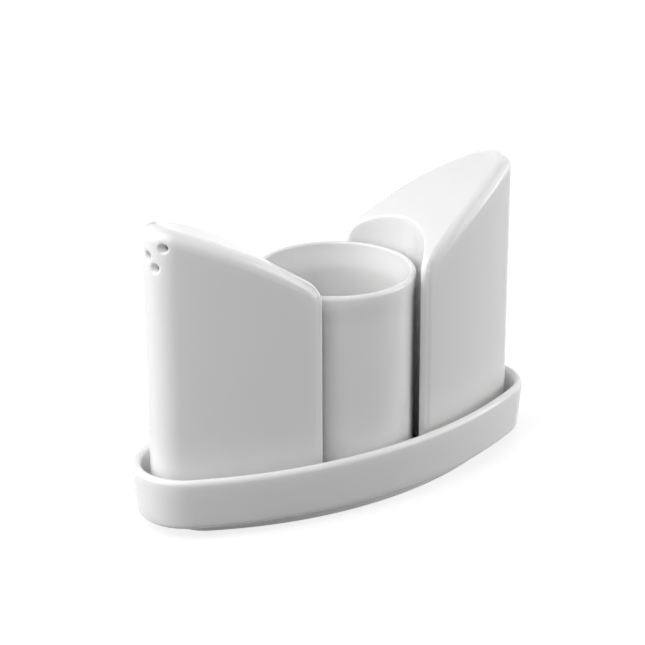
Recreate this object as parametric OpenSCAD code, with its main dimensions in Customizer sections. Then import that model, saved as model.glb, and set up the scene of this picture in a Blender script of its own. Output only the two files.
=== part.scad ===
// Table set: a salt shaker, a pepper shaker and a toothpick cup standing on an oval tray.
// The origin is the middle of the tray's foot, on the table. +X runs along the tray, +Z is up.

/* [Tray] */
// Length over the rim
tray_l = 139.8; // [136.8:0.6:148.8]
// Width over the rim
tray_w = 57.6; // [57.6:0.6:61.2]
// Height of the rim above the table
tray_h = 20; // [16:1:24]
// Thickness of the full round along the top of the wall
tray_rim_t = 2.7; // [2.4:0.1:2.8]
// Outward lean of the wall in degrees
tray_lean = 5; // [3:0.5:6]
// Bevel under the outer edge of the body
tray_bevel = 1.3; // [0.8:0.1:2]
// Thickness of the floor
tray_floor_t = 3; // [2.5:0.1:4]

/* [Tray foot] */
// Height of the foot
foot_h = 3.5; // [2:0.5:4]
// Length of the foot
foot_l = 119; // [112:1:121]
// Width of the foot
foot_w = 47.6; // [44:0.2:49]
// Radius of the foot outline at its two ends
foot_end_r = 12.4; // [11:0.2:14]
// Width of the ring that touches the table
foot_ring_w = 3.5; // [3:0.5:5]

/* [Toothpick cup] */
// Height from the tray floor to the rim
cup_h = 63; // [50:1:80]
// Outer radius of the straight body
cup_r = 24.3; // [22:0.1:24.4]
// Outer radius of the lip
cup_lip_r = 24.8; // [24.4:0.1:25]
// Thickness of the lip, which is a full round
cup_lip_t = 3.2; // [2.8:0.1:3.4]
// Height over which the body widens to the lip
cup_flare_h = 8; // [5:1:15]
// Thickness of the body wall
cup_wall = 2.8; // [2.4:0.1:3.2]
// Height of the inner bottom above the tray floor
cup_base_t = 4.5; // [4:0.5:7]

/* [Shaker outline] */
// Length of the oval that both outlines are cut from
pair_l = 121.2; // [119:0.2:122]
// Width of that oval
pair_w = 45.2; // [44:0.2:46]
// Radius of that oval at its two ends
pair_end_r = 9.5; // [8:0.5:12]
// How far each outline then stands out from the middle
shaker_shift = 4; // [3.6:0.1:4.4]
// Radius of the hollow side that faces the cup
shaker_hollow_r = 23.8; // [23.4:0.1:24.2]
// Radius of the two upright edges beside the cup
shaker_edge_r = 1.6; // [1.2:0.4:1.6]

/* [Shaker top] */
// Height of the outer end above the table
shaker_end_z = 96.8; // [90:1:105]
// Height of the top above the table where it starts beside the cup
shaker_low_z = 74.3; // [70:1:80]
// Radius of the curve that the top rises in
shaker_top_r = 174; // [120:1:300]

/* [Shaker body] */
// Wall thickness of the shakers
shaker_wall = 3; // [2.5:0.1:3.5]
// Thickness of the plate that holds the stopper
shaker_plate_t = 3; // [2.5:0.1:4]
// Depth of the recess under that plate
shaker_recess = 6; // [5.6:0.1:8]
// Width of the ring that stands on the tray
shaker_ring_w = 4; // [3.5:0.1:4.2]
// Step in from the outer faces at the standing ring
shaker_step = 0.8; // [0.5:0.1:0.9]
// Height of that step
shaker_step_h = 1; // [0.5:0.1:2]

/* [Sprinkle holes] */
// Diameter of a sprinkle hole
sprinkle_d = 2.8; // [2:0.1:3.4]
// Turn of the hole group away from the outer end, in degrees
sprinkle_turn = 21; // [15:1:22]
// Turn of the direction in which the holes are drilled, all of them parallel
sprinkle_aim = 12; // [10:1:20]
// Height of the middle of the hole group above the table
sprinkle_z = 87.2; // [80:0.5:89]
// Width of the hole group, in degrees around the end
sprinkle_spread = 17; // [15:1:18]
// Height of the hole group from its middle to its lowest hole
sprinkle_drop = 3.2; // [3:0.1:4]

/* [Stoppers] */
// Radius of the filling hole
fill_r = 7.5; // [6:0.5:8]
// Distance of the filling hole from the middle of the set
fill_x = 43; // [42.5:0.5:44]
// Gap all round between the plug and the filling hole
plug_gap = 0.2; // [0.1:0.05:0.3]
// Height of the plug above its flange
plug_h = 3.5; // [3:0.1:3.6]
// Radius of the flange
flange_r = 9.5; // [9:0.1:9.8]
// Thickness of the flange
flange_t = 1.2; // [1:0.1:1.4]
// Radius of the finger dimple
dimple_r = 5; // [4:0.5:5.5]
// Thickness of the grip bar across the dimple
grip_t = 1.6; // [1.2:0.1:2]

/* [Hidden] */
$fa = 3;
$fs = 0.5;
EPS = 1;
floor_z = foot_h + tray_floor_t;
rim_r = tray_rim_t / 2;
rim_bead = 0.05;
floor_bevel = 1;
floor_inset = 7;
plate_z = floor_z + shaker_recess;
chamber_z = plate_z + shaker_plate_t;
chamber_edge_r = 1.5;
recess_edge_r = 1;
cup_foot_d = 1;
cup_foot_r = 18;
cup_corner_r = 2;
cup_round_r = 3;
plug_bevel = 0.6;
low_x = 20;
// The tray's four arcs have their centres on a triangle with sides of 39, 80 and 89 steps.
tray_step = (tray_l - tray_w) / 60;
tray_end_r = tray_w / 2 - 9 * tray_step;

// An oval has four arcs: radius r at its ends, and this radius along its sides.
function side_radius(a, b, r) = (b * b + (a - r) * (a - r) - r * r) / (2 * (b - r));

function unit(v) = v / norm(v);

// Filled oval outline with half length a, half width b and end radius r.
module oval(a, b, r) {
    side = side_radius(a, b, r);
    join_x = (a - r) * side / (side - r);
    for (s = [-1, 1]) {
        translate([s * (a - r), 0]) circle(r);
    }
    intersection() {
        translate([0, side - b]) circle(side);
        translate([0, b - side]) circle(side);
        square([2 * join_x, 2 * b], center = true);
    }
}

// Sweeps a profile round an oval. The profile's x is measured outward from the oval, its y is up.
// The arcs meet on lines that run from the centre of an end arc through the join.
module around_oval(a, b, r, height) {
    side = side_radius(a, b, r);
    centre = [a - r, 0];
    join = centre + 2 * [a - r, side - b];
    for (turn = [0, 180]) {
        rotate(turn) {
            intersection() {
                translate([a - r, 0, 0]) rotate_extrude() translate([r, 0]) children();
                linear_extrude(height) polygon([centre, join, [2 * join[0], 0], [join[0], -join[1]]]);
            }
            intersection() {
                translate([0, b - side, 0]) rotate_extrude() translate([side, 0]) children();
                linear_extrude(height) polygon([centre, join, [-join[0], join[1]], -centre]);
            }
        }
    }
}

// Section of the tray's wall: a full round on a leaning wall, with bevels outside and inside.
module tray_wall_profile() {
    lean = tan(tray_lean);
    rim_z = tray_h - rim_r;
    outer = -rim_bead;
    inner = rim_bead - tray_rim_t;
    translate([-rim_r, rim_z]) circle(rim_r);
    polygon([
        [outer, rim_z],
        [outer - (rim_z - foot_h - tray_bevel) * lean, foot_h + tray_bevel],
        [outer - (rim_z - foot_h) * lean - tray_bevel, foot_h],
        [-floor_inset - EPS, foot_h],
        [-floor_inset - EPS, floor_z],
        [inner - (rim_z - floor_z) * lean - floor_bevel, floor_z],
        [inner - (rim_z - floor_z - floor_bevel) * lean, floor_z + floor_bevel],
        [inner, rim_z]
    ]);
}

module tray() {
    a = tray_l / 2 - floor_inset;
    b = tray_w / 2 - floor_inset;
    color("whitesmoke") {
        around_oval(tray_l / 2, tray_w / 2, tray_end_r, 2 * tray_h) tray_wall_profile();
        translate([0, 0, foot_h]) linear_extrude(tray_floor_t) oval(a, b, tray_end_r - floor_inset);
        linear_extrude(foot_h + tray_floor_t / 2) {
            difference() {
                oval(foot_l / 2, foot_w / 2, foot_end_r);
                oval(foot_l / 2 - foot_ring_w, foot_w / 2 - foot_ring_w, foot_end_r - foot_ring_w);
            }
        }
    }
}

module toothpick_cup() {
    lip_z = cup_h - cup_lip_t / 2;
    inner_r = cup_r - cup_wall;
    color("whitesmoke") translate([0, 0, floor_z]) rotate_extrude() {
        translate([cup_lip_r - cup_lip_t / 2, lip_z]) circle(cup_lip_t / 2);
        translate([cup_r - cup_corner_r, cup_corner_r]) circle(cup_corner_r);
        difference() {
            polygon([
                [0, cup_foot_d], [cup_foot_r, cup_foot_d], [cup_foot_r, 0], [cup_r - cup_corner_r, 0],
                [cup_r - cup_corner_r, cup_corner_r], [cup_r, cup_corner_r], [cup_r, lip_z - cup_flare_h],
                [cup_lip_r, lip_z], [cup_lip_r - cup_lip_t, lip_z], [inner_r, lip_z - cup_flare_h],
                [inner_r, cup_base_t + cup_round_r], [inner_r - cup_round_r, cup_base_t], [0, cup_base_t]
            ]);
            translate([inner_r - cup_round_r, cup_base_t + cup_round_r]) circle(cup_round_r);
        }
    }
}

// Outline of the shaker on the +X side, moved in from its faces by inset.
// The two edges beside the cup have radius edge_r and touch both the side arc and the hollow.
module shaker_outline(inset, edge_r) {
    a = pair_l / 2 - inset;
    b = pair_w / 2 - inset;
    r = pair_end_r - inset;
    side = side_radius(a, b, r);
    side_centre = [0, b - side];
    hollow = shaker_hollow_r + inset;
    to_hollow = hollow + edge_r;
    to_side = side - edge_r;
    edge_y = (to_side * to_side - to_hollow * to_hollow - side_centre[1] * side_centre[1])
        / (-2 * side_centre[1]);
    edge = [sqrt(to_hollow * to_hollow - edge_y * edge_y), edge_y];
    outer_touch = side_centre + side * unit(edge - side_centre);
    inner_touch = hollow * unit(edge);
    translate([shaker_shift, 0]) {
        difference() {
            oval(a, b, r);
            circle(hollow);
            for (s = [-1, 1]) {
                polygon([
                    [inner_touch[0], 0], [inner_touch[0], s * inner_touch[1]],
                    [outer_touch[0], s * outer_touch[1]], [outer_touch[0], s * (b + EPS)],
                    [-a - EPS, s * (b + EPS)], [-a - EPS, 0]
                ]);
            }
        }
        for (s = [-1, 1]) {
            translate([edge[0], s * edge[1]]) circle(edge_r);
        }
    }
}

// Everything under the curved top of the shaker on the +X side, lowered by inset.
module under_top(inset) {
    low = [low_x, shaker_low_z];
    high = [shaker_shift + pair_l / 2, shaker_end_z];
    chord = high - low;
    rise = sqrt(shaker_top_r * shaker_top_r - chord * chord / 4);
    centre = (low + high) / 2 + rise * unit([chord[1], -chord[0]]);
    rotate([90, 0, 0]) translate([0, 0, -pair_w]) linear_extrude(2 * pair_w) {
        intersection() {
            translate(centre) circle(shaker_top_r - inset, $fa = 1);
            square([pair_l, 2 * shaker_end_z]);
        }
    }
}

// The shaker on the +X side. Its sprinkle holes are parallel, drilled into the outer end.
module shaker() {
    end_x = shaker_shift + pair_l / 2 - pair_end_r;
    difference() {
        intersection() {
            union() {
                translate([0, 0, floor_z]) {
                    linear_extrude(2 * shaker_step_h) {
                        shaker_outline(shaker_step, shaker_edge_r - shaker_step);
                    }
                }
                translate([0, 0, floor_z + shaker_step_h]) {
                    linear_extrude(shaker_end_z) shaker_outline(0, shaker_edge_r);
                }
            }
            under_top(0);
        }
        intersection() {
            translate([0, 0, chamber_z]) {
                linear_extrude(shaker_end_z) shaker_outline(shaker_wall, chamber_edge_r);
            }
            under_top(shaker_wall);
        }
        translate([0, 0, floor_z - EPS]) {
            linear_extrude(shaker_recess + EPS) shaker_outline(shaker_ring_w, recess_edge_r);
        }
        translate([fill_x, 0, plate_z - EPS]) cylinder(r = fill_r, h = shaker_plate_t + 2 * EPS);
        for (hole = [[-sprinkle_spread, 0], [0, -sprinkle_drop], [sprinkle_spread, sprinkle_drop]]) {
            across = pair_end_r * sin(sprinkle_turn + hole[0] - sprinkle_aim);
            translate([end_x, 0, sprinkle_z + hole[1]]) rotate(sprinkle_aim) {
                translate([shaker_wall, across, 0]) rotate([0, 90, 0]) {
                    cylinder(d = sprinkle_d, h = 3 * shaker_wall);
                }
            }
        }
    }
}

module salt_shaker() {
    color("whitesmoke") rotate(180) shaker();
}

module pepper_shaker() {
    color("whitesmoke") shaker();
}

// Soft plug for the filling hole of the shaker on the +X side, with a bar to pull it by.
module stopper() {
    plug_r = fill_r - plug_gap;
    dimple_h = flange_t + plug_h / 2;
    translate([fill_x, 0, plate_z - flange_t]) {
        difference() {
            rotate_extrude() {
                polygon([
                    [0, 0], [flange_r, 0], [flange_r, flange_t], [plug_r, flange_t],
                    [plug_r, flange_t + plug_h - plug_bevel], [plug_r - plug_bevel, flange_t + plug_h],
                    [0, flange_t + plug_h]
                ]);
            }
            translate([0, 0, -EPS]) cylinder(r = dimple_r, h = dimple_h + EPS);
        }
        translate([-grip_t / 2, -dimple_r - EPS / 2, 0]) cube([grip_t, 2 * dimple_r + EPS, dimple_h + EPS / 2]);
    }
}

module salt_stopper() {
    color("lightgray") rotate(180) stopper();
}

module pepper_stopper() {
    color("lightgray") stopper();
}

tray();
salt_shaker();
pepper_shaker();
toothpick_cup();
salt_stopper();
pepper_stopper();
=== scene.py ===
"""Looks of a porcelain salt and pepper set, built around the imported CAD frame.

The porcelain shapes repeat the CAD dimensions, with the soft edges that casting and glazing give.
Lengths are millimetres until a mesh is made, which is in metres. The stage is in metres.
"""
import math
import bpy
import numpy as np
from mathutils import Matrix, Vector


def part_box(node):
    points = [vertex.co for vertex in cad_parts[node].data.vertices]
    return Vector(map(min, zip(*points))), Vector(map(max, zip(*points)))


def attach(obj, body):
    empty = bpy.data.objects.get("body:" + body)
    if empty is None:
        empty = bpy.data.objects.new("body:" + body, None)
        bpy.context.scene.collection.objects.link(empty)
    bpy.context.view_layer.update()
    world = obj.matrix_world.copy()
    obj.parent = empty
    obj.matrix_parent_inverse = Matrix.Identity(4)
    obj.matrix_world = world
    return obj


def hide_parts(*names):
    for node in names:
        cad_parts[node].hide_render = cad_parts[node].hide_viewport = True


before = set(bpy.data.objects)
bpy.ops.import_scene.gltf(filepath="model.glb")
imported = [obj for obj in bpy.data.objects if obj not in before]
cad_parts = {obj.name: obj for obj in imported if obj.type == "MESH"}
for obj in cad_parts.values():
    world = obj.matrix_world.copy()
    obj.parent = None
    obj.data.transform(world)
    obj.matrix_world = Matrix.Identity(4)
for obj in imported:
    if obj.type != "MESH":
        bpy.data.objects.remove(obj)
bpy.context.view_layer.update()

MM = 0.001
TINY = 1e-12  # added to a length before dividing by it, in case it is zero
PARALLEL = 1e-7  # two faces whose squared sine is less than this have no edge between them


def mm_box(node):
    """A node's box at rest, in millimetres."""
    low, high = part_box(node)
    return np.array(low) / MM, np.array(high) / MM


def side_radius(a, b, r):
    """Radius along the sides of an oval with half length a, half width b and end radius r."""
    return (b * b + (a - r) ** 2 - r * r) / (2 * (b - r))


TRAY_LOW, TRAY_HIGH = mm_box("tray")
CUP_LOW, CUP_HIGH = mm_box("toothpick_cup")
SHAKER_LOW, SHAKER_HIGH = mm_box("pepper_shaker")
STOPPER_LOW, STOPPER_HIGH = mm_box("pepper_stopper")

# Tray. Its four arcs have their centres on a triangle with sides of 39, 80 and 89 steps.
TRAY_A = (TRAY_HIGH[0] - TRAY_LOW[0]) / 2
TRAY_B = (TRAY_HIGH[1] - TRAY_LOW[1]) / 2
TRAY_STEP = (TRAY_A - TRAY_B) / 30
TRAY_R = TRAY_B - 9 * TRAY_STEP
TRAY_TOP = TRAY_HIGH[2]
RIM_R = 1.35
WALL_LEAN = math.radians(5)
TRAY_CORNER_R = 1.9
FLOOR_Z = CUP_LOW[2]
FLOOR_ROUND_R = 1.6
ARC_STEPS = 40

# Tray foot
FOOT_A = 59.5
FOOT_B = 23.8
FOOT_R = 12.4
FOOT_H = 3.5
FOOT_RING_W = 3.5
FOOT_EDGE_R = 0.7
FOOT_FILLET_R = 1.0

# Toothpick cup
CUP_TOP = CUP_HIGH[2]
CUP_LIP_R = CUP_HIGH[0]
CUP_R = CUP_LIP_R - 0.5
CUP_LIP_T = 1.9
CUP_LIP_OUT_R = 1.2
CUP_LIP_IN_R = 0.6
CUP_WALL = 2.8
CUP_FLARE_H = 8.0
CUP_BASE_T = 4.5
CUP_ROUND_R = 3.0
CUP_CORNER_R = 2.0
CUP_RECESS_R = 17.6
CUP_RECESS_D = 1.0
CUP_RECESS_ROUND = 0.4
CUP_UNDER_RINGS = (0, 4, 10, 15)
CUP_RING_R = 20.0
CUP_BOTTOM_RINGS = (14, 9, 4, 0)
CUP_STEPS = 192
CUP_WALL_STEPS = 24
CUP_FLARE_STEPS = 16

# Shaker outline: an oval that stands SHIFT out from the middle, with a hollow towards the cup
SHIFT = 4.0
PAIR_A = SHAKER_HIGH[0] - SHIFT
PAIR_B = 22.6
PAIR_R = 9.5
PAIR_SIDE = side_radius(PAIR_A, PAIR_B, PAIR_R)
PAIR_SIDE_Y = PAIR_B - PAIR_SIDE
HOLLOW_R = 23.8
EDGE_R = 1.6

# Shaker top: an arc from (x, z) beside the cup to (x, z) at the outer end, and its soft edges
TOP_LOW = np.array([20.0, 74.5])
TOP_HIGH = np.array([SHIFT + PAIR_A, 97.1])
TOP_R = 174.0
OUTER_ROUND = 3.8
HOLLOW_ROUND = 1.0
ROUND_BLEND = 6.0
TIP_ROUND = 9.0
SWELL = 1.8
SWELL_SKIN = 0.5
SWELL_DEPTH = 4.0
HALVINGS = 20
ON_SKIN = 1e-4

# Shaker body
WALL = 3.0
STEP_IN = 0.8
STEP_H = 1.0
STEP_ROUND = 0.9
RING_W = 4.0
RING_H = 6.0
RING_ROUND = 0.35
RECESS_EDGE_R = 1.0
RECESS_ROUND = 0.9
RECESS_MOUTH_ROUND = 0.6
CHAMBER_EDGE_R = 1.5
CHAMBER_FLOOR_ROUND = 1.2
CHAMBER_MOUTH_ROUND = 0.2
HIDDEN_ROUND = 0.1  # for edges that end up inside the material
SHAKER_PITCH = 0.45

# Stopper and the filling hole that it closes
FLANGE_T = 1.2
PLATE_Z = STOPPER_LOW[2] + FLANGE_T
PLATE_T = 3.0
CHAMBER_Z = PLATE_Z + PLATE_T
FILL_X = (STOPPER_LOW[0] + STOPPER_HIGH[0]) / 2
FILL_R = 7.5
FILL_PAST = 1.0
FILL_MOUTH_ROUND = 0.35
FLANGE_ROUND = 0.35
PLUG_GAP = 0.2
PLUG_ROUND = 0.6
PLUG_FILLET = 0.15
PLUG_START = 0.4
DIMPLE_R = 5.0
DIMPLE_H = FLANGE_T + 1.75
DIMPLE_ROUND = 0.6
DIMPLE_MOUTH_ROUND = 0.4
GRIP_HALF_T = 0.8
GRIP_START = 0.15
GRIP_END = 3.4
GRIP_REACH = 5.4
GRIP_ROUND = 0.3
STOPPER_PITCH = 0.2

# Sprinkle holes: all parallel, each given by its turn round the outer end and its height
HOLE_R = 1.4
HOLE_ROUND = 0.55
HOLE_NARROWS = 0.45
HOLE_NARROW_DEPTH = 1.5
HOLE_AIM = math.radians(12)
HOLE_TURN = math.radians(21)
HOLE_SPREAD = math.radians(17)
HOLE_Z = 87.2
HOLE_DROP = 3.2
HOLES = (
    (HOLE_TURN - HOLE_SPREAD, HOLE_Z),
    (HOLE_TURN, HOLE_Z - HOLE_DROP),
    (HOLE_TURN + HOLE_SPREAD, HOLE_Z + HOLE_DROP),
)

# Meshing, and the band above a standing ring where the glaze gives way to bare porcelain
NORMAL_STEP = 0.01
NET_BEFORE = 1.5  # cells of the grid before a solid's box
NET_AFTER = 2.5
NET_MOVES = 4
BARE_TO = 0.25
GLAZE_FROM = 0.45

# ---------------------------------------------------------------- distance fields
# A field is (distance, normal) at each point: negative inside the material.


def unit(x, y):
    """A direction in the plane, brought to length 1."""
    length = np.hypot(x, y)
    return x / length, y / length


def smooth(t):
    """An eased value for t from 0 to 1."""
    return t * t * (3 - 2 * t)


def mirror(y):
    """-1 on the -Y side, and 1 on the +Y side."""
    return np.where(y < 0, -1, 1)


def sideways(nx, ny):
    """Level normals from their two components."""
    return np.column_stack([nx, ny, np.zeros(len(ny))])


def around(px, py, cx, cy, radius):
    """Distance outside a circle, and the direction away from its centre."""
    dx = px - cx
    dy = py - cy
    away = np.sqrt(dx * dx + dy * dy) + TINY
    return away - radius, dx / away, dy / away


def post(p, radius):
    """An upright cylinder on the axis of the filling hole."""
    d, nx, ny = around(p[:, 0], p[:, 1], FILL_X, 0, radius)
    return d, sideways(nx, ny)


def level(p, z, up):
    """Everything below z if up is 1, or above z if up is -1."""
    n = np.zeros_like(p)
    n[:, 2] = up
    return up * (p[:, 2] - z), n


def inset(field, inward):
    return field[0] + inward, field[1]


def both(f, g, r):
    """Where two fields overlap, with a rounded edge of radius r along the line where they cross."""
    d1, n1 = f
    d2, n2 = g
    c = np.einsum("ij,ij->i", n1, n2)
    s = np.maximum(1 - c * c, PARALLEL)
    a = d1 + r
    b = d2 + r
    u = (a - c * b) / s
    v = (b - c * a) / s
    on_edge = (u > 0) & (v > 0) & (s > PARALLEL)
    reach = np.sqrt(np.maximum(a * a + b * b - 2 * a * b * c, 0) / s)
    d = np.where(on_edge, reach, np.maximum(a, b)) - r
    blend = u[:, None] * n1 + v[:, None] * n2
    blend /= np.linalg.norm(blend, axis=1)[:, None] + TINY
    first = (a > b)[:, None]
    n = np.where(on_edge[:, None], blend, np.where(first, n1, n2))
    return d, n


def without(f, g, r):
    """f with g cut away, and a rounded edge of radius r."""
    return both(f, (-g[0], -g[1]), r)


def joined(f, g, r):
    """f and g together, with a fillet of radius r between them."""
    d, n = both((-f[0], -f[1]), (-g[0], -g[1]), r)
    return -d, -n


def pair_field(p):
    """The oval that a shaker's outer sides follow."""
    x = p[:, 0] - SHIFT
    ax = np.abs(x)
    ay = np.abs(p[:, 1])
    at_end = (ax - (PAIR_A - PAIR_R)) * -PAIR_SIDE_Y > ay * (PAIR_A - PAIR_R)
    end = around(ax, ay, PAIR_A - PAIR_R, 0, PAIR_R)
    flank = around(ax, ay, 0, PAIR_SIDE_Y, PAIR_SIDE)
    d, nx, ny = (np.where(at_end, e, f) for e, f in zip(end, flank))
    return d, sideways(nx * np.sign(x), ny * mirror(p[:, 1]))


def hollow_field(p):
    """Everything outside the round hollow that faces the cup."""
    d, nx, ny = around(p[:, 0], p[:, 1], SHIFT, 0, HOLLOW_R)
    return -d, sideways(-nx, -ny)


def corner(inward, r):
    """Centre of a rounding of radius r at an upright edge beside the cup, on faces moved inward."""
    to_hollow = HOLLOW_R + inward + r
    to_side = PAIR_SIDE - inward - r
    y = (to_hollow ** 2 - to_side ** 2 + PAIR_SIDE_Y ** 2) / (2 * PAIR_SIDE_Y)
    return np.sqrt(np.maximum(to_hollow ** 2 - y ** 2, 0)), y


def wall_field(p, inward=0.0, r=EDGE_R, swell=0.0):
    """The shaker's outline moved inward, with its two upright edges rounded to r.

    Swell makes the rounding grow with depth under the skin, so a rounded top has no crease there.
    """
    d1, n1 = pair_field(p)
    d2, n2 = hollow_field(p)
    d = np.maximum(d1, d2) + inward
    n = np.where((d1 > d2)[:, None], n1, n2)
    x = p[:, 0] - SHIFT
    y = np.abs(p[:, 1])
    depth = np.maximum(-d, 0) if swell else np.zeros_like(d)

    def from_centre(depth):
        """Offset from the rounding's centre at a depth, its radius, and where it shapes the edge."""
        grow = swell * np.clip(depth - SWELL_SKIN, 0, SWELL_DEPTH)
        cx, cy = corner(inward, r + grow)
        dx = x - cx
        dy = y - cy
        flank_x, flank_y = unit(cx, cy - PAIR_SIDE_Y)
        cup_x, cup_y = unit(-cx, -cy)
        turn = flank_x * cup_y - flank_y * cup_x
        past_flank = (dx * cup_y - dy * cup_x) / turn > 0
        past_hollow = (flank_x * dy - flank_y * dx) / turn > 0
        return dx, dy, r + grow - depth, past_flank & past_hollow & (x > 0)

    zone = from_centre(depth)[3]
    low = np.zeros_like(depth)
    high = depth.copy()
    for _ in range(HALVINGS if swell else 0):
        middle = (low + high) / 2
        dx, dy, radius, beyond = from_centre(middle)
        outside = beyond & (np.hypot(dx, dy) > radius)
        high = np.where(outside, middle, high)
        low = np.where(outside, low, middle)
    at = np.where(high < ON_SKIN, 0, high)
    dx, dy, _, _ = from_centre(at)
    away = np.hypot(dx, dy) + TINY
    rounded = np.where(at > 0, -at, away - r)
    direction = sideways(dx / away, mirror(p[:, 1]) * dy / away)
    return np.where(zone, rounded, d), np.where(zone[:, None], direction, n)


def top_field(p):
    """Everything below the curved top."""
    chord = TOP_HIGH - TOP_LOW
    half = np.linalg.norm(chord) / 2
    rise = math.sqrt(TOP_R ** 2 - half ** 2)
    centre = (TOP_HIGH + TOP_LOW) / 2 + rise * np.array([chord[1], -chord[0]]) / (2 * half)
    d, nx, nz = around(p[:, 0], p[:, 2], centre[0], centre[1], TOP_R)
    return d, np.column_stack([nx, np.zeros_like(nx), nz])


def top_round(p):
    """Radius of the top's edge: wide along the outer sides, narrow along the hollow."""
    nearer_hollow = hollow_field(p)[0] - pair_field(p)[0]
    share = smooth(np.clip(nearer_hollow / ROUND_BLEND + 0.5, 0, 1))
    return OUTER_ROUND + (HOLLOW_ROUND - OUTER_ROUND) * share


def tip_face(p):
    """The upright plane that touches the rounded upright edge on each side of the cup."""
    cx, cy = corner(0.0, EDGE_R)
    flank = np.array(unit(cx, cy - PAIR_SIDE_Y))
    cup = np.array(unit(-cx, -cy))
    nx, ny = unit(*(flank + cup))
    d = (p[:, 0] - SHIFT - cx) * nx + (np.abs(p[:, 1]) - cy) * ny - EDGE_R
    return d, sideways(np.full(len(p), nx), mirror(p[:, 1]) * ny)


def bore(p, turn, z):
    """The sprinkle hole that opens at a turn round the outer end and a height."""
    along = np.array([math.cos(HOLE_AIM), math.sin(HOLE_AIM), 0.0])
    across = np.array([-along[1], along[0], 0.0])
    beside = PAIR_R * math.sin(turn - HOLE_AIM)
    rel = p - np.array([SHIFT + PAIR_A - PAIR_R, 0.0, z]) - beside * across
    reach = rel @ along
    off = rel - reach[:, None] * along
    dist = np.linalg.norm(off, axis=1) + TINY
    depth = math.sqrt(PAIR_R ** 2 - beside ** 2) - reach
    radius = HOLE_R - HOLE_NARROWS * np.clip(depth / HOLE_NARROW_DEPTH, 0, 1)
    start = (WALL - reach, -np.tile(along, (len(p), 1)))
    return both((dist - radius, off / dist[:, None]), start, 0.0)


def shaker_field(p):
    """The shaker on the +X side."""
    top = top_field(p)
    body = both(wall_field(p, swell=SWELL), both(top, tip_face(p), TIP_ROUND), top_round(p))
    body = both(body, level(p, FLOOR_Z + STEP_H, -1), STEP_ROUND)
    ring = both(wall_field(p, STEP_IN, EDGE_R - STEP_IN), level(p, FLOOR_Z, -1), RING_ROUND)
    ring = both(ring, level(p, FLOOR_Z + RING_H, 1), HIDDEN_ROUND)
    body = joined(body, ring, RING_ROUND)
    recess = both(wall_field(p, RING_W, RECESS_EDGE_R), level(p, PLATE_Z, 1), RECESS_ROUND)
    body = without(body, recess, RECESS_MOUTH_ROUND)
    chamber = both(wall_field(p, WALL, CHAMBER_EDGE_R), inset(top, WALL), CHAMBER_EDGE_R)
    chamber = both(chamber, level(p, CHAMBER_Z, -1), CHAMBER_FLOOR_ROUND)
    body = without(body, chamber, CHAMBER_MOUTH_ROUND)
    fill = both(post(p, FILL_R), level(p, CHAMBER_Z + FILL_PAST, 1), 0.0)
    fill = both(fill, level(p, PLATE_Z - FILL_PAST, -1), 0.0)
    body = without(body, fill, FILL_MOUTH_ROUND)
    for turn, z in HOLES:
        body = without(body, bore(p, turn, z), HOLE_ROUND)
    return body


def stopper_field(p):
    """The stopper on the +X side."""
    low = STOPPER_LOW[2]
    flange_r = (STOPPER_HIGH[0] - STOPPER_LOW[0]) / 2
    flange = both(post(p, flange_r), level(p, low, -1), FLANGE_ROUND)
    flange = both(flange, level(p, PLATE_Z, 1), FLANGE_ROUND)
    plug = both(post(p, FILL_R - PLUG_GAP), level(p, STOPPER_HIGH[2], 1), PLUG_ROUND)
    plug = both(plug, level(p, low + PLUG_START, -1), HIDDEN_ROUND)
    body = joined(flange, plug, PLUG_FILLET)
    dimple = both(post(p, DIMPLE_R), level(p, low + DIMPLE_H, 1), DIMPLE_ROUND)
    body = without(body, dimple, DIMPLE_MOUTH_ROUND)
    side = np.where(p[:, 0] < FILL_X, -1.0, 1.0)
    grip = (np.abs(p[:, 0] - FILL_X) - GRIP_HALF_T, sideways(side, np.zeros_like(side)))
    grip = both(grip, level(p, low + GRIP_START, -1), GRIP_ROUND)
    grip = both(grip, level(p, low + GRIP_END, 1), HIDDEN_ROUND)
    grip = both(grip, post(p, GRIP_REACH), HIDDEN_ROUND)
    return joined(body, grip, GRIP_ROUND)


# ---------------------------------------------------------------- meshes


def field_normals(field, points):
    """Normals of a field's surface, from the distances a small step to each side."""
    normals = np.empty_like(points)
    for axis in range(3):
        shift = np.zeros(3)
        shift[axis] = NORMAL_STEP
        normals[:, axis] = field(points + shift)[0] - field(points - shift)[0]
    return normals / (np.linalg.norm(normals, axis=1)[:, None] + TINY)


def cells_round(at, axis):
    """In turn, the four cells round each grid edge that starts at a point and runs along an axis."""
    for u, v in ((0, 0), (-1, 0), (-1, -1), (0, -1)):
        cell = at.copy()
        cell[:, (axis + 1) % 3] += u
        cell[:, (axis + 2) % 3] += v
        yield tuple(cell.T)


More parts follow.
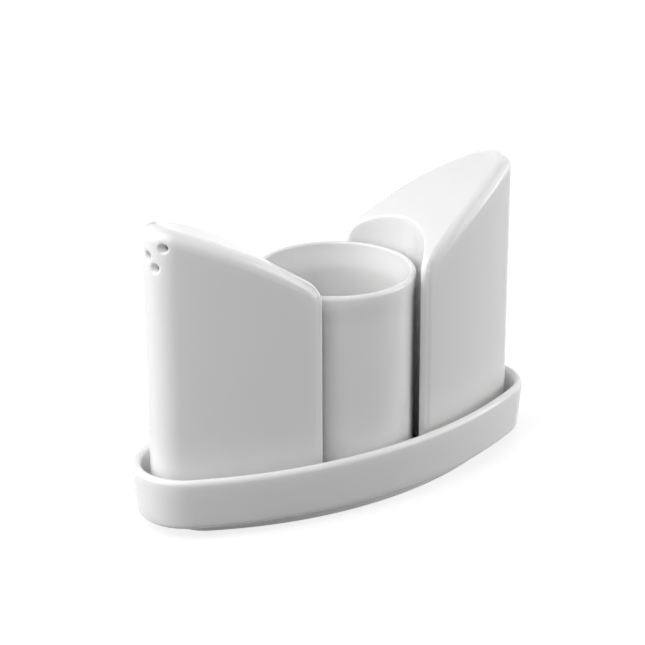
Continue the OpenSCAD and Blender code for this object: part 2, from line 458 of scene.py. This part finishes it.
def net(field, low, high, pitch):
    """A quad mesh of a field's surface: one vertex in each cell that it crosses, moved onto it."""
    starts = low - NET_BEFORE * pitch
    ends = high + NET_AFTER * pitch
    axes = [np.arange(start, end, pitch) for start, end in zip(starts, ends)]
    shape = tuple(len(a) for a in axes)
    grid = np.empty(shape, np.float32)
    plane = np.stack(np.meshgrid(axes[0], axes[1], indexing="ij"), -1).reshape(-1, 2)
    for k, z in enumerate(axes[2]):
        points = np.column_stack([plane, np.full(len(plane), z)])
        grid[:, :, k] = field(points)[0].reshape(shape[:2])
    inside = grid < 0
    total = np.zeros(tuple(n - 1 for n in shape) + (3,), np.float32)
    count = np.zeros(tuple(n - 1 for n in shape), np.int32)
    crossings = []
    for axis in range(3):
        first = tuple(slice(0, -1) if i == axis else slice(None) for i in range(3))
        second = tuple(slice(1, None) if i == axis else slice(None) for i in range(3))
        crossed = inside[first] != inside[second]
        at = np.argwhere(crossed)
        g0 = grid[first][crossed]
        g1 = grid[second][crossed]
        where = at.astype(np.float32)
        where[:, axis] += g0 / (g0 - g1)
        for cell in cells_round(at, axis):
            np.add.at(total, cell, where)
            np.add.at(count, cell, 1)
        crossings.append((at, axis, inside[first][crossed]))
    ids = -np.ones(count.shape, np.int64)
    used = np.argwhere(count > 0)
    ids[tuple(used.T)] = np.arange(len(used))
    points = total[tuple(used.T)] / count[tuple(used.T)][:, None] * pitch + starts
    for _ in range(NET_MOVES):
        d, n = field(points)
        points -= np.clip(d, -pitch, pitch)[:, None] * n
    quads = []
    for at, axis, solid_first in crossings:
        quad = np.stack([ids[cell] for cell in cells_round(at, axis)], 1)
        quads.append(np.where(solid_first[:, None], quad, quad[:, ::-1]))
    return points, np.concatenate(quads)


def make_mesh(name, points, faces, normals=None):
    """A smooth mesh object in metres, from points in millimetres."""
    mesh = bpy.data.meshes.new(name)
    mesh.from_pydata((points * MM).tolist(), [], [tuple(f) for f in faces])
    mesh.validate()
    mesh.polygons.foreach_set("use_smooth", [True] * len(mesh.polygons))
    if normals is not None:
        mesh.normals_split_custom_set_from_vertices(normals.tolist())
    mesh.update()
    piece = bpy.data.objects.new(name, mesh)
    bpy.context.scene.collection.objects.link(piece)
    return piece


def build_pair(names, field, low, high, pitch):
    """The same solid on the +X side, and turned half a turn on the -X side."""
    points, faces = net(field, low, high, pitch)
    normals = field_normals(field, points)
    turned = np.array([-1, -1, 1])
    plus = make_mesh(names[0], points, faces, normals)
    minus = make_mesh(names[1], points * turned, faces, normals * turned)
    return plus, minus


def arc(cx, cy, r, start, end, steps):
    """Points on a circle from one angle to another, in degrees."""
    turn = np.radians(np.linspace(start, end, steps + 1))
    return [(cx + r * math.cos(t), cy + r * math.sin(t)) for t in turn]


def line(start, end, steps):
    """Points between two profile points, without the ends."""
    start = np.array(start)
    way = np.array(end) - start
    return [tuple(start + way * k / steps) for k in range(1, steps)]


def tray_section():
    """The wall from the tray's floor over the rim and down to its underside, as (x out from the rim, z)."""
    lean = math.degrees(WALL_LEAN)
    sine = math.sin(WALL_LEAN)
    cosine = math.cos(WALL_LEAN)
    rim_z = TRAY_TOP - RIM_R
    round_z = FLOOR_Z + FLOOR_ROUND_R
    round_x = -RIM_R - (RIM_R + FLOOR_ROUND_R + (rim_z - round_z) * sine) / cosine
    corner_z = FOOT_H + TRAY_CORNER_R
    corner_x = -RIM_R - (TRAY_CORNER_R - RIM_R + (rim_z - corner_z) * sine) / cosine
    section = arc(round_x, round_z, FLOOR_ROUND_R, -90, -lean, 8)
    section += line(section[-1], (-RIM_R - RIM_R * cosine, rim_z + RIM_R * sine), 6)
    section += arc(-RIM_R, rim_z, RIM_R, 180 - lean, -lean, 20)
    under = arc(corner_x, corner_z, TRAY_CORNER_R, -lean, -90, 10)
    return section + line(section[-1], under[0], 8) + under


def foot_section():
    """The foot ring from its outer fillet to its inner one, as (x out from the foot's outline, z)."""
    fillet_z = FOOT_H - FOOT_FILLET_R
    section = arc(FOOT_FILLET_R, fillet_z, FOOT_FILLET_R, 90, 180, 6)
    section += arc(-FOOT_EDGE_R, FOOT_EDGE_R, FOOT_EDGE_R, 0, -90, 5)
    section += arc(FOOT_EDGE_R - FOOT_RING_W, FOOT_EDGE_R, FOOT_EDGE_R, -90, -180, 5)
    return section + arc(-FOOT_RING_W - FOOT_FILLET_R, fillet_z, FOOT_FILLET_R, 0, 90, 6)


def oval_ring(a, b, r, out, z):
    """Points of an oval moved outward, counter-clockwise at a height, as many on each of its arcs."""
    side = side_radius(a, b, r)
    join = math.degrees(math.atan2(side - b, a - r))
    half = arc(a - r, 0, r + out, -join, join, ARC_STEPS)[:-1]
    half += arc(0, b - side, side + out, join, 180 - join, ARC_STEPS)[:-1]
    return np.array([(s * x, s * y, z) for s in (1, -1) for x, y in half])


def build_tray():
    """The tray's wall, floor and foot as one closed surface swept round its oval."""
    rings = [oval_ring(TRAY_A, TRAY_B, TRAY_R, x, z) for x, z in tray_section()]
    rings += [oval_ring(FOOT_A, FOOT_B, FOOT_R, x, z) for x, z in foot_section()]
    count = len(rings[0])
    last = (len(rings) - 1) * count
    faces = []
    for base in range(0, last, count):
        for k in range(count):
            j = (k + 1) % count
            faces.append((base + j, base + count + j, base + count + k, base + k))
    across = []
    for k in range(count // 2 - 1):
        order = (k, k + 1, count - 2 - k, count - 1 - k)
        across.append(tuple((ARC_STEPS // 2 + i) % count for i in order))
    faces += across
    faces += [tuple(last + i for i in reversed(quad)) for quad in across]
    return make_mesh("tray_porcelain", np.concatenate(rings), faces)


def lathe(name, profile, count):
    """Revolves a profile of (r, z) that starts and ends on the axis."""
    inner = np.array(profile[1:-1])
    turn = 2 * math.pi * np.arange(count) / count
    rings = np.stack([
        inner[:, :1] * np.cos(turn),
        inner[:, :1] * np.sin(turn),
        np.repeat(inner[:, 1:], count, 1),
    ], -1)
    points = np.concatenate([[[0, 0, profile[0][1]]], rings.reshape(-1, 3), [[0, 0, profile[-1][1]]]])
    last = len(points) - 1
    top = last - count
    faces = []
    for k in range(count):
        j = (k + 1) % count
        faces.append((0, 1 + j, 1 + k))
        for base in range(1, top, count):
            faces.append((base + k, base + j, base + count + j, base + count + k))
        faces.append((top + k, top + j, last))
    return make_mesh(name, points, faces)


def build_cup():
    """The cup, with a flared lip and a shallow recess inside its standing ring."""
    under = FLOOR_Z + CUP_RECESS_D
    outer_z = CUP_TOP - CUP_LIP_OUT_R
    inner_z = CUP_TOP - CUP_LIP_T / 2
    inner_r = CUP_R - CUP_WALL
    lip_inner_r = CUP_LIP_R - CUP_LIP_T
    bottom = FLOOR_Z + CUP_BASE_T
    rise = np.linspace(0, 1, CUP_FLARE_STEPS + 1)
    flare = CUP_R + (CUP_LIP_R - CUP_R) * smooth(rise)
    profile = [(r, under) for r in CUP_UNDER_RINGS]
    profile += arc(CUP_RECESS_R - CUP_RECESS_ROUND, under - CUP_RECESS_ROUND, CUP_RECESS_ROUND, 90, 0, 4)
    profile += arc(CUP_RECESS_R + CUP_RECESS_ROUND, FLOOR_Z + CUP_RECESS_ROUND, CUP_RECESS_ROUND, 180, 270, 4)
    profile += [(CUP_RING_R, FLOOR_Z)]
    profile += arc(CUP_R - CUP_CORNER_R, FLOOR_Z + CUP_CORNER_R, CUP_CORNER_R, -90, 0, 10)
    profile += line((CUP_R, FLOOR_Z + CUP_CORNER_R), (CUP_R, outer_z - CUP_FLARE_H), CUP_WALL_STEPS)
    profile += list(zip(flare, outer_z - CUP_FLARE_H * (1 - rise)))[:-1]
    profile += arc(CUP_LIP_R - CUP_LIP_OUT_R, outer_z, CUP_LIP_OUT_R, 0, 90, 14)[:-1]
    profile += arc(lip_inner_r + CUP_LIP_IN_R, CUP_TOP - CUP_LIP_IN_R, CUP_LIP_IN_R, 90, 180, 8)
    profile += list(zip(lip_inner_r + (inner_r - lip_inner_r) * smooth(rise), inner_z - CUP_FLARE_H * rise))
    profile += line((inner_r, inner_z - CUP_FLARE_H), (inner_r, bottom + CUP_ROUND_R), CUP_WALL_STEPS)
    profile += arc(inner_r - CUP_ROUND_R, bottom + CUP_ROUND_R, CUP_ROUND_R, 0, -90, 12)
    profile += [(r, bottom) for r in CUP_BOTTOM_RINGS]
    return lathe("cup_porcelain", profile, CUP_STEPS)


# ---------------------------------------------------------------- materials


def new_material(name):
    """A node material, with its node tree, its shader and the object coordinates."""
    material = bpy.data.materials.new(name)
    material.use_nodes = True
    tree = material.node_tree
    place = tree.nodes.new("ShaderNodeTexCoord").outputs["Object"]
    return material, tree, tree.nodes["Principled BSDF"], place


def noise(tree, place, scale, detail=2.0):
    node = tree.nodes.new("ShaderNodeTexNoise")
    node.inputs["Scale"].default_value = scale
    node.inputs["Detail"].default_value = detail
    tree.links.new(place, node.inputs["Vector"])
    return node.outputs["Fac"]


def ramp(tree, value, start_colour, end_colour, start=0.0, end=1.0):
    """A colour that goes from one to another as a value goes from start to end."""
    node = tree.nodes.new("ShaderNodeValToRGB")
    first, second = node.color_ramp.elements
    first.position = start
    first.color = (*start_colour, 1)
    second.position = end
    second.color = (*end_colour, 1)
    tree.links.new(value, node.inputs["Fac"])
    return node.outputs["Color"]


def scaled(tree, value, low, high, start=0.0, end=1.0):
    """A value that goes from low to high as another goes from start to end."""
    node = tree.nodes.new("ShaderNodeMapRange")
    node.inputs["From Min"].default_value = start
    node.inputs["From Max"].default_value = end
    node.inputs["To Min"].default_value = low
    node.inputs["To Max"].default_value = high
    tree.links.new(value, node.inputs["Value"])
    return node.outputs["Result"]


def bumped(tree, value, strength, distance):
    node = tree.nodes.new("ShaderNodeBump")
    node.inputs["Strength"].default_value = strength
    node.inputs["Distance"].default_value = distance
    tree.links.new(value, node.inputs["Height"])
    return node.outputs["Normal"]


def porcelain(name, ring_z):
    """White glazed porcelain, bare and dry on the ring that it stood on in the kiln."""
    material, tree, shader, place = new_material(name)
    height = tree.nodes.new("ShaderNodeSeparateXYZ")
    tree.links.new(place, height.inputs["Vector"])
    bare = scaled(tree, height.outputs["Z"], 1, 0, (ring_z + BARE_TO) * MM, (ring_z + GLAZE_FROM) * MM)

    glaze = ramp(tree, noise(tree, place, 22, 3), (0.825, 0.827, 0.825), (0.845, 0.846, 0.842), 0.3, 0.7)
    biscuit = ramp(tree, noise(tree, place, 2600), (0.62, 0.60, 0.56), (0.78, 0.76, 0.72))
    colour = tree.nodes.new("ShaderNodeMix")
    colour.data_type = "RGBA"
    tree.links.new(bare, colour.inputs["Factor"])
    tree.links.new(glaze, colour.inputs["A"])
    tree.links.new(biscuit, colour.inputs["B"])
    tree.links.new(colour.outputs["Result"], shader.inputs["Base Color"])

    gloss = scaled(tree, noise(tree, place, 60, 4), 0.09, 0.15)
    roughness = tree.nodes.new("ShaderNodeMix")
    roughness.data_type = "FLOAT"
    roughness.inputs["B"].default_value = 0.75
    tree.links.new(bare, roughness.inputs["Factor"])
    tree.links.new(gloss, roughness.inputs["A"])
    tree.links.new(roughness.outputs["Result"], shader.inputs["Roughness"])

    ripple = noise(tree, place, 95, 1.5)
    tree.links.new(bumped(tree, ripple, 0.12, 0.12 * MM), shader.inputs["Normal"])
    shader.inputs["IOR"].default_value = 1.52
    shader.inputs["Subsurface Weight"].default_value = 0.7
    shader.inputs["Subsurface Radius"].default_value = (1.0, 1.0, 1.0)
    shader.inputs["Subsurface Scale"].default_value = 3 * MM
    return material


def rubber(name):
    """Soft, cloudy, matt stopper rubber."""
    material, tree, shader, place = new_material(name)
    cloud = noise(tree, place, 160, 3)
    tint = ramp(tree, cloud, (0.70, 0.70, 0.67), (0.82, 0.82, 0.80))
    tree.links.new(tint, shader.inputs["Base Color"])
    tree.links.new(scaled(tree, cloud, 0.42, 0.6), shader.inputs["Roughness"])
    grain = noise(tree, place, 3200)
    tree.links.new(bumped(tree, grain, 0.3, 0.05 * MM), shader.inputs["Normal"])
    shader.inputs["Subsurface Weight"].default_value = 0.3
    shader.inputs["Subsurface Radius"].default_value = (0.002, 0.002, 0.0018)
    return material


# ---------------------------------------------------------------- pieces

tray = build_tray()
cup = build_cup()
pepper, salt = build_pair(
    ("pepper_porcelain", "salt_porcelain"), shaker_field, SHAKER_LOW, SHAKER_HIGH, SHAKER_PITCH
)
pepper_plug, salt_plug = build_pair(
    ("pepper_plug", "salt_plug"), stopper_field, STOPPER_LOW, STOPPER_HIGH, STOPPER_PITCH
)

tray_glaze = porcelain("tray_glaze", 0)
shaker_glaze = porcelain("shaker_glaze", FLOOR_Z)
cup_glaze = porcelain("cup_glaze", FLOOR_Z)
soft = rubber("stopper_rubber")

PIECES = (
    (tray, "tray", "porcelain_tray", tray_glaze),
    (cup, "toothpick_cup", "porcelain_cup", cup_glaze),
    (salt, "salt_shaker", "porcelain_shakers", shaker_glaze),
    (pepper, "pepper_shaker", "porcelain_shakers", shaker_glaze),
    (salt_plug, "salt_stopper", "stopper", soft),
    (pepper_plug, "pepper_stopper", "stopper", soft),
)
for piece, node, slot, material in PIECES:
    piece.data.materials.append(material)
    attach(piece, node)
    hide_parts(node)

# ---------------------------------------------------------------- stage

FLOOR_SIZE = 6
MIDDLE = Vector((0, 0, 0.04))
LIGHT_REACH = 1.2

# The floor glows evenly and no diffuse ray sees it: the soft world light stands in for its bounce.
bpy.ops.mesh.primitive_plane_add(size=FLOOR_SIZE, location=(0, 0, 0))
floor = bpy.context.object
floor.name = "floor"
paper = bpy.data.materials.new("floor_paper")
paper.use_nodes = True
paper_shader = paper.node_tree.nodes["Principled BSDF"]
paper_shader.inputs["Base Color"].default_value = (0.3, 0.3, 0.3, 1)
paper_shader.inputs["Emission Color"].default_value = (1, 1, 1, 1)
paper_shader.inputs["Emission Strength"].default_value = 0.75
paper_shader.inputs["Roughness"].default_value = 0.6
floor.data.materials.append(paper)
floor.visible_diffuse = False
floor.visible_shadow = False

world = bpy.data.worlds.new("studio")
bpy.context.scene.world = world
world.use_nodes = True
world.node_tree.nodes["Background"].inputs["Color"].default_value = (1, 1, 1, 1)
world.node_tree.nodes["Background"].inputs["Strength"].default_value = 0.15
bpy.context.scene.view_settings.view_transform = "Standard"


def soft_box(name, direction, size, power):
    """A soft light at the studio's distance in a direction, aimed at the middle of the set."""
    lamp = bpy.data.lights.new(name, "AREA")
    lamp.shape = "RECTANGLE"
    lamp.size, lamp.size_y = size
    lamp.energy = power
    holder = bpy.data.objects.new(name, lamp)
    toward = Vector(direction).normalized()
    holder.location = MIDDLE + LIGHT_REACH * toward
    holder.rotation_euler = (-toward).to_track_quat("-Z", "Y").to_euler()
    bpy.context.scene.collection.objects.link(holder)


soft_box("high_left", (-0.6, -0.05, 1.0), (0.8, 0.9), 5.3)
soft_box("front_left", (-0.8, -0.5, 0.9), (0.8, 0.9), 3.9)
soft_box("left", (-1.0, 0.1, 0.3), (0.7, 1.0), 4.8)
soft_box("back_left", (-0.75, 0.6, 0.35), (0.8, 0.9), 7.0)
soft_box("back_right", (0.8, 0.55, 0.4), (1.3, 1.1), 3.8)
soft_box("right", (0.9, -0.6, 0.4), (0.8, 1.0), 6.2)
soft_box("low_right", (1.0, -0.25, 0.12), (0.8, 0.5), 3.3)

# The camera looks along -back, from an azimuth and an elevation, with a slight roll.
AZIMUTH = math.radians(-33.6107)
ELEVATION = math.radians(22.2264)
ROLL = math.radians(-0.2627)
FOCAL = 118.669
CAMERA_AT = Vector((-0.336951, -0.500214, 0.298070))
back = Vector((
    math.sin(AZIMUTH) * math.cos(ELEVATION),
    -math.cos(AZIMUTH) * math.cos(ELEVATION),
    math.sin(ELEVATION),
))
right = Vector((math.cos(AZIMUTH), math.sin(AZIMUTH), 0))
up = back.cross(right)
rolled_right = math.cos(ROLL) * right + math.sin(ROLL) * up
rolled_up = math.cos(ROLL) * up - math.sin(ROLL) * right
lens = bpy.data.cameras.new("camera")
lens.lens = FOCAL
lens.sensor_width = 36
camera = bpy.data.objects.new("camera", lens)
turn = Matrix((rolled_right, rolled_up, back)).transposed()
camera.matrix_world = Matrix.Translation(CAMERA_AT) @ turn.to_4x4()
bpy.context.scene.collection.objects.link(camera)
bpy.context.scene.camera = camera
bpy.context.view_layer.update()
